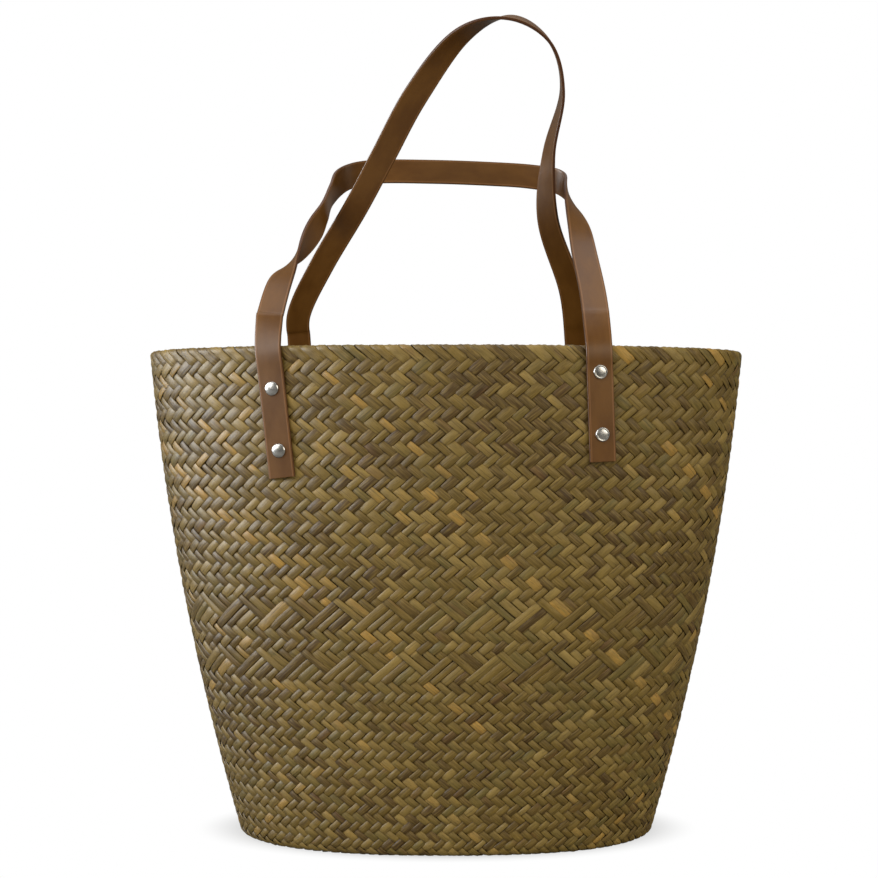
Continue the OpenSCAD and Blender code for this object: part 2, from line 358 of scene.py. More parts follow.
def make_sheet(name, rows, columns, width_share, level_of_row):
    """A hidden guide sheet from rows of points, with a UV map in strips and levels and an
    attribute for its outward direction."""
    mesh = bpy.data.meshes.new(name)
    across = columns + 1
    points = [point for row in rows for point in row]
    faces = [
        (r * across + c, r * across + c + 1, (r + 1) * across + c + 1, (r + 1) * across + c)
        for r in range(len(rows) - 1)
        for c in range(columns)
    ]
    mesh.from_pydata(points, [], faces)
    uv = mesh.uv_layers.new(name="strips")
    for loop in mesh.loops:
        row, column = divmod(loop.vertex_index, across)
        share = (level_of_row[row] + under_levels) / sheet_levels
        uv.data[loop.index].uv = (width_share[0] + width_share[1] * column / columns, share)
    outward = mesh.attributes.new("outward", "FLOAT_VECTOR", "POINT")
    for row in range(len(rows)):
        for column in range(across):
            before = rows[row][column - 1 if column else 0]
            after = rows[row][min(column + 1, columns)]
            below = rows[max(row - 1, 0)][column]
            above = rows[min(row + 1, len(rows) - 1)][column]
            normal = (after - before).cross(above - below).normalized()
            outward.data[row * across + column].vector = normal
    sheet = bpy.data.objects.new(name, mesh)
    scene.collection.objects.link(sheet)
    return sheet


sheet_columns = 208
foot_rows_per_level = 4
rim_row_step = 0.1
rim_rows = 105
foot_rows = foot_rows_per_level * under_levels
row_levels = [i / foot_rows_per_level - under_levels for i in range(foot_rows)]
row_levels += [float(level) for level in range(int(rim_level))]
row_levels += [rim_level - 0.5 + rim_row_step * i for i in range(rim_rows)]
sheet_rows = []
for level in row_levels:
    height, inset = sheet_place(level)
    ring_points = outline(min(max(height, foot_start), rim_start), inset, sheet_columns)[0]
    sheet_rows.append([Vector((p.x, p.y, height)) for p in ring_points])
wall_sheet = make_sheet("wall sheet", sheet_rows, sheet_columns, (0, 1), row_levels)


def strip_list(name, strips):
    """A point for each strip, with its number and the levels where it starts and ends."""
    mesh = bpy.data.meshes.new(name)
    mesh.from_pydata([(0, 0, 0)] * len(strips), [], [])
    for index, label in enumerate(("strand", "start", "end")):
        values = mesh.attributes.new(label, "FLOAT", "POINT")
        for point, strip in zip(values.data, strips):
            point.value = strip[index]
    points = bpy.data.objects.new(name, mesh)
    scene.collection.objects.link(points)
    return points


strip_inputs = (
    ("Sheet", "NodeSocketObject"),
    ("Strips", "NodeSocketObject"),
    ("Slant", "NodeSocketFloat"),
    ("First level", "NodeSocketFloat"),
    ("Rows", "NodeSocketInt"),
    ("Rows per level", "NodeSocketFloat"),
    ("Strands round", "NodeSocketFloat"),
    ("Sheet levels", "NodeSocketFloat"),
    ("Levels under", "NodeSocketFloat"),
    ("Thickness", "NodeSocketFloat"),
    ("Crown", "NodeSocketFloat"),
    ("Weave height", "NodeSocketFloat"),
    ("Width", "NodeSocketFloat"),
    ("Wide and narrow", "NodeSocketFloat"),
    ("Band one", "NodeSocketFloat"),
    ("Band two", "NodeSocketFloat"),
    ("Band height", "NodeSocketFloat"),
    ("Band step", "NodeSocketFloat"),
    ("Covered from", "NodeSocketFloat"),
    ("Leaf length", "NodeSocketFloat"),
    ("Seed", "NodeSocketInt"),
    ("Material", "NodeSocketMaterial"),
)


def new_tree(name, inputs):
    """An empty Geometry Nodes tree with named inputs, and those inputs by name."""
    tree = bpy.data.node_groups.new(name, "GeometryNodeTree")
    tree.interface.new_socket("Geometry", in_out="OUTPUT", socket_type="NodeSocketGeometry")
    for label, kind in inputs:
        tree.interface.new_socket(label, in_out="INPUT", socket_type=kind)
    source = tree.nodes.new("NodeGroupInput")
    fields = {}
    for label, kind in inputs:
        number = kind in ("NodeSocketFloat", "NodeSocketInt")
        fields[label] = Field(source.outputs[label]) if number else source.outputs[label]
    return tree, fields


def close_tree(tree, geometry, material):
    """Ends a tree in Realize Instances and Set Material."""
    real = place(tree, "GeometryNodeRealizeInstances", {"Geometry": geometry})
    named = {"Geometry": real.outputs["Geometry"], "Material": material}
    coloured = place(tree, "GeometryNodeSetMaterial", named)
    output = tree.nodes.new("NodeGroupOutput")
    tree.links.new(coloured.outputs["Geometry"], output.inputs["Geometry"])


def attribute(tree, name, kind="FLOAT"):
    """A named attribute's output in a Geometry Nodes tree."""
    node = place(tree, "GeometryNodeInputNamedAttribute", {"Name": name}, data_type=kind)
    return node.outputs["Attribute"]


def store(tree, geometry, name, value):
    """The geometry with one more named attribute."""
    named = {"Geometry": geometry, "Name": name, "Value": value}
    node = place(tree, "GeometryNodeStoreNamedAttribute", named, data_type="FLOAT")
    return node.outputs["Geometry"]


def grow(name, tree, values):
    """Runs a tree on an empty object and returns the result as a plain mesh object."""
    seed_object = bpy.data.objects.new(name, bpy.data.meshes.new(name))
    scene.collection.objects.link(seed_object)
    modifier = seed_object.modifiers.new(name, "NODES")
    modifier.node_group = tree
    for item in tree.interface.items_tree:
        if item.in_out == "INPUT":
            modifier[item.identifier] = values[item.name]
    graph = bpy.context.evaluated_depsgraph_get()
    mesh = bpy.data.meshes.new_from_object(seed_object.evaluated_get(graph), depsgraph=graph)
    seed_object.modifiers.clear()
    seed_object.data = mesh
    mesh.name = name
    return seed_object


# One tube per strip, laid on the guide sheet: its rows follow the levels, and it rises and
# dips with its crossings.
tree, given = new_tree("plaited strips", strip_inputs)
sheet_info = place(tree, "GeometryNodeObjectInfo", {"Object": given["Sheet"]})
strip_info = place(tree, "GeometryNodeObjectInfo", {"Object": given["Strips"]})
tube = place(
    tree,
    "GeometryNodeMeshCylinder",
    {"Vertices": 8, "Side Segments": given["Rows"] - 1, "Radius": 1, "Depth": 1},
    fill_type="NGON",
)
copies = place(
    tree,
    "GeometryNodeInstanceOnPoints",
    {"Points": strip_info.outputs["Geometry"], "Instance": tube.outputs["Mesh"]},
)
strips = place(tree, "GeometryNodeRealizeInstances", {0: copies.outputs["Instances"]})
in_tube = place(tree, "GeometryNodeInputPosition")
local = place(tree, "ShaderNodeSeparateXYZ", {0: in_tube.outputs[0]})
side, rise, length = (Field(local.outputs[axis]) for axis in "XYZ")
strand = Field(attribute(tree, "strand"))
slant = given["Slant"]
rising = slant < 0
row = ((length + 0.5) * (given["Rows"] - 1)).do("ROUND")
level = given["First level"] + (row + 0.5) / given["Rows per level"]
level = level.do("MAXIMUM", attribute(tree, "start")).do("MINIMUM", attribute(tree, "end"))


weave_repeat = 4


def over(crossing):
    """1 where the strip passes over at that crossing, and -1 where it passes under."""
    past = (crossing > given["Band one"] - 0.5) + (crossing > given["Band two"] - 0.5)
    plain = (crossing - past * given["Band height"]) % weave_repeat > 1.5
    into_one = crossing - given["Band one"]
    into_two = crossing - given["Band two"]
    in_one = (into_one > -0.5) * (into_one < given["Band height"] - 0.5)
    in_two = (into_two > -0.5) * (into_two < given["Band height"] - 0.5)
    step = (strand + rising * crossing - given["Band step"]) % weave_repeat
    stepped = (into_one * in_one + into_two * in_two) > step + 1.5
    inside = in_one + in_two
    falling_over = plain * (1 - inside) + stepped * inside
    falling_over = falling_over.do("MAXIMUM", crossing > given["Covered from"] - 0.5)
    return (falling_over * 2 - 1) * slant


below = level.do("FLOOR")
between = (level - below).ease(0, 1)
lift = over(below) * (1 - between) + over(below + 1) * between


def chance(low, high, number, seed_step):
    """A random number for each value of number. Each use has a seed step of its own."""
    node = place(tree, "FunctionNodeRandomValue", data_type="FLOAT")
    feed(node.inputs[2], low)
    feed(node.inputs[3], high)
    feed(node.inputs["ID"], number)
    feed(node.inputs["Seed"], given["Seed"] + seed_step)
    return Field(node.outputs[1])


strand_gap = 3.7
noise_stretch = 2.6


def ripple(scale, seed_step):
    """A smooth random number from -1 to 1 that changes along each strip."""
    spot = place(
        tree,
        "ShaderNodeCombineXYZ",
        {0: level * scale, 1: strand * strand_gap, 2: given["Seed"] + seed_step},
    )
    node = place(tree, "ShaderNodeTexNoise", {"Vector": spot.outputs[0], "Scale": 1, "Detail": 1})
    return (Field(node.outputs[0]) - 0.5) * noise_stretch


# Widths and shifts are in strand spacings. Every second strip is wide, most so at the top.
foot_contrast = 0.35
most_narrow, most_wide = -0.15, 0.07
width_ripple = 0.13
side_reach = 1.15
sideways_ripple = 0.05
wide = 1 - (strand % 2) * 2
growth = (level / given["Sheet levels"]).do("MAXIMUM", 0) * 0.65 + foot_contrast
width = given["Width"] + given["Wide and narrow"] * wide * growth
width = width + chance(most_narrow, most_wide, strand, 1) + ripple(0.33, 11) * width_ripple
edge = (side * side_reach).do("MAXIMUM", -1).do("MINIMUM", 1)
shift = edge * width * -0.5 + ripple(0.13, 23) * sideways_ripple
place_level = level + slant * shift
place_strand = strand + (shift - slant * level) * 0.5
place_share = (place_strand / given["Strands round"]).do("FRACT")
uv = place(
    tree,
    "ShaderNodeCombineXYZ",
    {0: place_share, 1: (place_level + given["Levels under"]) / given["Sheet levels"]},
)
steepest_tilt = 0.14
tilt_ripple = 0.24
tilt_reach = 0.0018
height_ripple = 0.00014
bulge = rise.do("MAXIMUM", 0) ** 2
tilt = chance(-steepest_tilt, steepest_tilt, strand, 5) + ripple(0.55, 31) * tilt_ripple
height = lift * given["Weave height"] + rise * given["Thickness"] * 0.5 + bulge * given["Crown"]
height = height + edge * tilt * tilt_reach + ripple(0.8, 41) * height_ripple
spot_node, outward_node = (
    place(
        tree,
        "GeometryNodeSampleUVSurface",
        {
            "Mesh": sheet_info.outputs["Geometry"],
            "Source UV Map": attribute(tree, "strips", "FLOAT_VECTOR"),
            "Sample UV": uv.outputs[0],
        },
        data_type="FLOAT_VECTOR",
    )
    for _ in range(2)
)
feed(spot_node.inputs["Value"], place(tree, "GeometryNodeInputPosition").outputs[0])
feed(outward_node.inputs["Value"], attribute(tree, "outward", "FLOAT_VECTOR"))
raised = place(
    tree,
    "ShaderNodeVectorMath",
    {0: outward_node.outputs["Value"], "Scale": height},
    operation="SCALE",
)
final = place(
    tree,
    "ShaderNodeVectorMath",
    {0: spot_node.outputs["Value"], 1: raised.outputs["Vector"]},
    operation="ADD",
)
# Each strip is made of several leaves, and each leaf has a tone of its own.
leaf_offset = 200
leaf = ((level + chance(0, leaf_offset, strand, 3)) / given["Leaf length"]).do("FLOOR")
leaf_number = leaf * 977 + strand * 13 + rising * 5
tone = chance(0, 1, leaf_number, 7)
geometry = strips.outputs["Geometry"]
for label, value in (
    ("along", level + 0),
    ("across", edge + 0),
    ("tone", tone),
    ("lift", lift),
    ("number", strand + rising * 0.5),
):
    geometry = store(tree, geometry, label, value)
moved = place(
    tree,
    "GeometryNodeSetPosition",
    {"Geometry": geometry, "Position": final.outputs["Vector"]},
)
merge_distance = 0.000002
merged = place(
    tree,
    "GeometryNodeMergeByDistance",
    {"Geometry": moved.outputs["Geometry"], "Distance": merge_distance},
)
smooth = place(tree, "GeometryNodeSetShadeSmooth", {"Geometry": merged.outputs["Geometry"]})
close_tree(tree, smooth.outputs["Geometry"], given["Material"])
plaited_strips = tree

# The look of one sedge strip: fibres that run along it, painted shade along its edges and in its
# slits, a tone of its own, and painted shade where it dives under its neighbours.
fibre_group = bpy.data.node_groups.new("sedge fibres", "ShaderNodeTree")
for label in ("Slits", "Depth shade", "Fibre height", "Lightness"):
    fibre_group.interface.new_socket(label, in_out="INPUT", socket_type="NodeSocketFloat")
fibre_group.interface.new_socket("Colour", in_out="OUTPUT", socket_type="NodeSocketColor")
fibre_group.interface.new_socket("Roughness", in_out="OUTPUT", socket_type="NodeSocketFloat")
fibre_group.interface.new_socket("Normal", in_out="OUTPUT", socket_type="NodeSocketVector")
tree = fibre_group
wanted = tree.nodes.new("NodeGroupInput")


def surface(tree, name):
    """A named attribute as a field in a shader tree."""
    node = place(tree, "ShaderNodeAttribute", attribute_name=name)
    return Field(node.outputs["Fac"])


def noise(tree, x, y, z, detail, roughness=0.5):
    """A smooth noise at a place made of three fields or numbers."""
    spot = place(tree, "ShaderNodeCombineXYZ", {0: x, 1: y, 2: z})
    values = {"Vector": spot.outputs[0], "Scale": 1, "Detail": detail, "Roughness": roughness}
    return Field(place(tree, "ShaderNodeTexNoise", values).outputs[0])


def mix(tree, factor, first, second):
    """The first colour where factor is 0, and the second where it is 1."""
    node = place(tree, "ShaderNodeMix", {0: factor, 6: first, 7: second}, data_type="RGBA")
    return node.outputs[2]


along, across = surface(tree, "along"), surface(tree, "across")
tone, lift, number = surface(tree, "tone"), surface(tree, "lift"), surface(tree, "number")
fibre = noise(tree, along * 0.4, across * 3.4, number * 9.1, detail=3, roughness=0.6)
fine_fibre = noise(tree, along * 1.1, across * 12, number * 5.3, detail=2, roughness=0.6)
stain = noise(tree, along * 0.22, across * 0.4, number * 7.7, detail=2)
pale_fibre = paint(158, 132, 68)
dark_fibre = paint(70, 50, 24)
brown_stain = paint(122, 84, 48)
slit_shade_brown = paint(50, 34, 15)
edge_shade_brown = paint(56, 38, 14)
shade_brown = paint(44, 30, 14)
fibre_bump = 0.0006
ramp = tree.nodes.new("ShaderNodeValToRGB")
stops = (
    (0.0, (82, 58, 20)),
    (0.12, (102, 79, 28)),
    (0.3, (116, 93, 33)),
    (0.5, (132, 107, 42)),
    (0.64, (114, 100, 46)),
    (0.76, (146, 121, 58)),
    (0.93, (164, 138, 74)),
    (0.985, (190, 148, 68)),
)
while len(ramp.color_ramp.elements) < len(stops):
    ramp.color_ramp.elements.new(0.5)
for element, (position, colour) in zip(ramp.color_ramp.elements, stops):
    element.position = position
    element.color = paint(*colour)
feed(ramp.inputs[0], tone + (stain - 0.5) * 0.08)
colour = mix(tree, fibre.ease(0.35, 0.72), ramp.outputs[0], pale_fibre)
colour = mix(tree, 0.72, ramp.outputs[0], colour)
colour = mix(tree, fine_fibre.ease(0.52, 0.3) * 0.45, colour, dark_fibre)
brown = noise(tree, along * 0.13, across * 0.3, number * 3.1, detail=1).ease(0.62, 0.74)
colour = mix(tree, brown * 0.35, colour, brown_stain)
# Dark slits along some strips: a groove in the bump, with painted shade in it.
slit_place = (number * 1.37).do("SINE") * 0.45
slit = (across - slit_place).do("ABSOLUTE").ease(0.085, 0.02)
split_here = noise(tree, along * 0.18, number * 4.4, 2, detail=0) > 0.53
split = split_here * slit * wanted.outputs["Slits"]
# Painted shade darkens both long edges of each strip.
edge_shade_line = across.do("ABSOLUTE").ease(0.84, 1.0)
colour = mix(tree, split, colour, slit_shade_brown)
colour = mix(tree, edge_shade_line * 0.5, colour, edge_shade_brown)
shade = lift.ease(0.5, -0.5) * wanted.outputs["Depth shade"]
colour = mix(tree, shade, colour, shade_brown)
lightness = Field(wanted.outputs["Lightness"]) * (stain * 0.9 + 0.55)
bright = place(tree, "ShaderNodeHueSaturation", {"Color": colour, "Value": lightness})
grain = fibre * 0.6 + fine_fibre * 0.5 - split * 0.6
bump = place(
    tree,
    "ShaderNodeBump",
    {"Height": grain, "Strength": wanted.outputs["Fibre height"], "Distance": fibre_bump},
)
group_out = tree.nodes.new("NodeGroupOutput")
feed(group_out.inputs["Colour"], bright.outputs[0])
feed(group_out.inputs["Roughness"], fibre * 0.2 + 0.41)
feed(group_out.inputs["Normal"], bump.outputs[0])


def sedge(name, **values):
    """A material of sedge, with the fibre group's inputs set to the values."""
    material, tree, shader = principled(name)
    leaf_look = place(tree, "ShaderNodeGroup", node_tree=fibre_group)
    for label, value in values.items():
        leaf_look.inputs[label.replace("_", " ")].default_value = value
    shader.inputs["Specular IOR Level"].default_value = 0.42
    for label, socket in (("Colour", "Base Color"), ("Roughness", "Roughness"), ("Normal", "Normal")):
        tree.links.new(leaf_look.outputs[label], shader.inputs[socket])
    return material


wall_sedge = sedge("wall sedge", Slits=0.5, Depth_shade=0.75, Fibre_height=0.36, Lightness=0.99)
first_level = -5.0
rows_per_level = 2
plait_values = {
    "Sheet": wall_sheet,
    "Rows per level": float(rows_per_level),
    "Strands round": float(strands_each_way),
    "Sheet levels": float(sheet_levels),
    "Levels under": float(under_levels),
    "Thickness": strip_thickness,
    "Crown": strip_crown,
    "Weave height": weave_height,
    "Width": 1.08,
    "Wide and narrow": 0.19,
    "Band one": 36.0,
    "Band two": 46.0,
    "Band height": 6.0,
    "Band step": 1.0,
    "Covered from": 94.0,
    "Leaf length": 68.0,
    "First level": first_level,
    "Seed": 4,
    "Material": wall_sedge,
}
half_round = strands_each_way // 2
for slant_name, slant_sign, last_level in (("falling", 1.0, 93.0), ("rising", -1.0, 96.0)):
    for part, first in (("a", 0), ("b", half_round)):
        label = f"wall_{slant_name}_strips_{part}"
        listed = strip_list(
            label + " list",
            [(k, first_level, last_level) for k in range(first, first + half_round)],
        )
        values = dict(plait_values, Slant=slant_sign, Strips=listed)
        values["Rows"] = int((last_level - first_level) * rows_per_level)
        piece = grow(label, plaited_strips, values)
        bpy.data.objects.remove(listed)
        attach(piece, "bag")
        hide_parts("woven_wall")


# ---- Rim ----
# The falling strips run on over the rim and down inside, every second one wide, and their
# ends are tucked back into the plait. They hide the cut ends of the rising strips.
rim_sedge = sedge("rim sedge", Slits=0.7, Depth_shade=0.5, Fibre_height=0.55, Lightness=1.05)
wrap_start, wrap_end, wrap_spread = 92.6, 99.6, 1.6
wrap_ends = random.Random(12)
listed = strip_list(
    "rim wraps list",
    [
        (k, wrap_start, wrap_end + wrap_ends.uniform(0, wrap_spread))
        for k in range(strands_each_way)
    ],
)
values = dict(plait_values, Slant=1.0, Strips=listed, Seed=9, Material=rim_sedge)
values.update(
    {
        "First level": 92.5,
        "Rows per level": 7.0,
        "Rows": 64,
        "Width": 1.1,
        "Wide and narrow": 0.12,
    }
)
rim_wraps = grow("rim_wraps", plaited_strips, values)
bpy.data.objects.remove(listed)
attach(rim_wraps, "bag")
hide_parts("rim_fold")


# ---- Base ----
# A flat mat of the same strips, plaited square to each other and set at 45 degrees. Its strips
# end at the edge of the foot, above the wall's strips, which turn in under it.
base_strand = 0.0092
base_level = base_strand / 2
base_middle = 50.0
base_height = 0.0031
base_inset = 0.0048
base_reach = [half_size - base_inset for half_size in half_sizes(0)]
mat_half = 16
mat_size = mat_half * 2
mat_rows = []
mat_levels = []
for row in range(mat_size + 1):
    level = base_middle + row - mat_half
    y = (level - base_middle) * base_level
    mat_levels.append(level)
    mat_rows.append(
        [Vector(((c - mat_half) * base_strand, y, base_height)) for c in range(mat_size + 1)]
    )
half_share = mat_half / strands_each_way
mat_share = (0.5 - half_share, half_share * 2)
base_sheet = make_sheet("base sheet", mat_rows, mat_size, mat_share, mat_levels)
base_sedge = sedge("base sedge", Slits=0.5, Depth_shade=0.6, Fibre_height=0.45, Lightness=0.92)


def inside_base(strand, slant, level):
    """Whether a strip is inside the base's outline at a level."""
    x = (strand - slant * level / 2 - strands_each_way / 2) * base_strand
    y = (level - base_middle) * base_level
    along_x = (abs(x) / base_reach[0]) ** foot_squareness
    along_y = (abs(y) / base_reach[1]) ** foot_squareness
    return along_x + along_y < 1


tenths_tried = range(300, 700)
fewest_tenths = 7
no_band = 900.0
for slant_name, slant_sign in (("falling", 1.0), ("rising", -1.0)):
    chords = []
    for strand_number in range(-10, 150):
        inner = [
            tenth / 10 for tenth in tenths_tried if inside_base(strand_number, slant_sign, tenth / 10)
        ]
        if len(inner) >= fewest_tenths:
            chords.append((strand_number, inner[0], inner[-1]))
    listed = strip_list(f"base {slant_name} list", chords)
    values = dict(plait_values, Slant=slant_sign, Strips=listed, Sheet=base_sheet, Seed=21)
    values.update(
        {
            "Band one": no_band,
            "Band two": no_band,
            "Covered from": no_band,
            "First level": 34.0,
            "Rows": 64,
            "Wide and narrow": 0.03,
            "Material": base_sedge,
        }
    )
    piece = grow(f"base_{slant_name}_strips", plaited_strips, values)
    bpy.data.objects.remove(listed)
    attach(piece, "bag")
    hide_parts("woven_base")
for guide in (wall_sheet, base_sheet):
    bpy.data.objects.remove(guide)


# ---- Handles ----
# Two flat straps of smooth brown imitation leather with squared, dyed edges. Each is one
# strip from tab to tab, riveted flat on the wall, bending at the rim and crossing the
# other handle higher up.
strap_edge_round = 0.0005
strap_flat_margin = 0.0006
bend_ease = 0.012
end_share = 0.06
half_leg_spacing = 0.1085
tab_line_count = 5
tab_top_gap = 0.001
bend_rise = frame["joints"][0]["pos_m"][2] - rim_top


def washer_middle(end, which):
    """The middle of a CAD washer's box."""
    low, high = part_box(f"{end}_{which}_washer")
    return (Vector(low) + Vector(high)) / 2


def tab_frame(end):
    """The middle of a tab's two rivets on the wall, its upward, outward and sideways
    directions, and how far its back, its face and its lower end are from there."""
    low, high = washer_middle(end, "lower"), washer_middle(end, "upper")
    up = (high - low).normalized()
    patch = frame["nodes"][f"{end}_patch"].data
    out = max(patch.polygons, key=lambda face: face.area).normal.copy()
    out = (out - up * out.dot(up)).normalized()
    if out.y * low.y < 0:
        out = -out
    middle = (low + high) / 2
    side = out.cross(up)
    points = [v.co - middle for v in frame["nodes"][f"{end}_strap_end"].data.vertices]
    points = [p for p in points if p.dot(up) < 0]
    depths = [p.dot(out) for p in points]
    return {
        "middle": middle,
        "up": up,
        "out": out,
        "side": side,
        "back": min(depths),
        "face": max(depths),
        "end": min(p.dot(up) for p in points),
        "half_width": max(abs(p.dot(side)) for p in points),
    }


def smooth_route(points, steps):
    """A Catmull-Rom curve through the points, with steps spans between each two."""
    points = [Vector(point) for point in points]
    points = [points[0] * 2 - points[1], *points, points[-1] * 2 - points[-2]]
    curve = []
    for i in range(1, len(points) - 2):
        a, b, c, d = points[i - 1 : i + 3]
        for step in range(steps):
            t = step / steps
            straight = b * 2 + (c - a) * t
            squared = (a * 2 - b * 5 + c * 4 - d) * (t * t)
            cubed = (b * 3 - a - c * 3 + d) * t**3
            curve.append((straight + squared + cubed) / 2)
    curve.append(points[-2])
    return curve


# Each route point is a share of half the leg spacing, a share of the rise and a turn.
handle_routes = {
    "front": (
        (-1, 0, 180), (-1, 0.1, 180), (-0.96, 0.31, 165), (-0.86, 0.47, 95), (-0.79, 0.6, 70),
        (-0.735, 0.72, 85), (-0.7, 0.84, 90), (-0.62, 0.95, 62), (-0.42, 1, 41), (0, 1, 41),
        (0.4, 0.985, 41), (0.68, 0.965, 44), (0.87, 0.925, 70), (0.925, 0.82, 115),
        (0.965, 0.65, 155), (0.98, 0.45, 178), (1, 0.22, 180), (1, 0, 180),
    ),
    "rear": (
        (-1, 0, 0), (-1, 0.12, 0), (-0.82, 0.28, 0), (-0.57, 0.46, 0), (-0.38, 0.61, 0),
        (-0.15, 0.79, 10), (0.14, 0.95, 45), (0.45, 1, 90), (0.71, 0.935, 90), (0.805, 0.8, 90),
        (0.735, 0.62, 70), (0.75, 0.42, 35), (0.93, 0.2, 10), (1, 0, 0),
    ),
}
# The side of the bag along Y, the rise above the rim and the lean inward in degrees.
handle_shapes = {"front": (-1, 0.141, 41.0), "rear": (1, 0.228, 26.5)}

def finish(shader, colour, roughness, grain, strength, distance):
    """Feeds a shader its colour, its roughness and a bump made of a grain."""
    values = {"Height": grain, "Strength": strength, "Distance": distance}
    bump = place(shader.id_data, "ShaderNodeBump", values)
    feed(shader.inputs["Base Color"], colour)
    feed(shader.inputs["Roughness"], roughness)
    feed(shader.inputs["Normal"], bump.outputs[0])


leather, tree, shader = principled("strap leather")
shader.inputs["Specular IOR Level"].default_value = 0.4
shader.inputs["Coat Weight"].default_value = 0.05
shader.inputs["Coat Roughness"].default_value = 0.25
along, across, edge = surface(tree, "along"), surface(tree, "across"), surface(tree, "edge")
number = surface(tree, "number")
mottle = noise(tree, along * 26, across * 0.5, number, detail=3, roughness=0.6)
grain = noise(tree, along * 1500, across * 12, number, detail=3, roughness=0.6)
pores = noise(tree, along * 420, across * 3.6, number + 4, detail=2)
brown, light_brown = paint(104, 65, 16), paint(122, 80, 25)
grain_brown = paint(80, 47, 15)
rubbed_tan_and_highlight = paint(172, 122, 78)
dyed_edge = paint(78, 40, 22)
leather_bump = 0.0004
colour = mix(tree, mottle.ease(0.3, 0.7), brown, light_brown)
colour = mix(tree, grain.ease(0.45, 0.75) * 0.22, colour, grain_brown)
# A lighter line near each edge: partly rubbed leather, partly a painted highlight of a raised line.
from_middle = across.do("ABSOLUTE")
pressed_line_and_highlight = from_middle.ease(0.8, 0.86) * (1 - from_middle.ease(0.88, 0.94))
colour = mix(tree, pressed_line_and_highlight * 0.4, colour, rubbed_tan_and_highlight)
colour = mix(tree, edge * 0.75, colour, dyed_edge)
roughness = mottle * 0.16 + grain * 0.12 + 0.24
finish(shader, colour, roughness, grain * 0.5 + pores * 0.5, 0.16, leather_bump)


def strap_section(half_width, half_thickness):
    """The strap's cut section: a flat rectangle with rounded edges, from its back."""
    points = []
    for corner, (sx, sy) in enumerate(((1, -1), (1, 1), (-1, 1), (-1, -1))):
        middle_x = sx * (half_width - strap_edge_round)
        middle_y = sy * (half_thickness - strap_edge_round)
        arc = []
        for step in range(3):
            angle = math.radians(-90 + 90 * corner + 45 * step)
            arc_x = middle_x + math.cos(angle) * strap_edge_round
            arc_y = middle_y + math.sin(angle) * strap_edge_round
            arc.append((arc_x, arc_y))
        inner = (sx * (half_width - strap_edge_round - strap_flat_margin), sy * half_thickness)
        points += [inner, *arc] if corner % 2 == 0 else [*arc, inner]
    return points


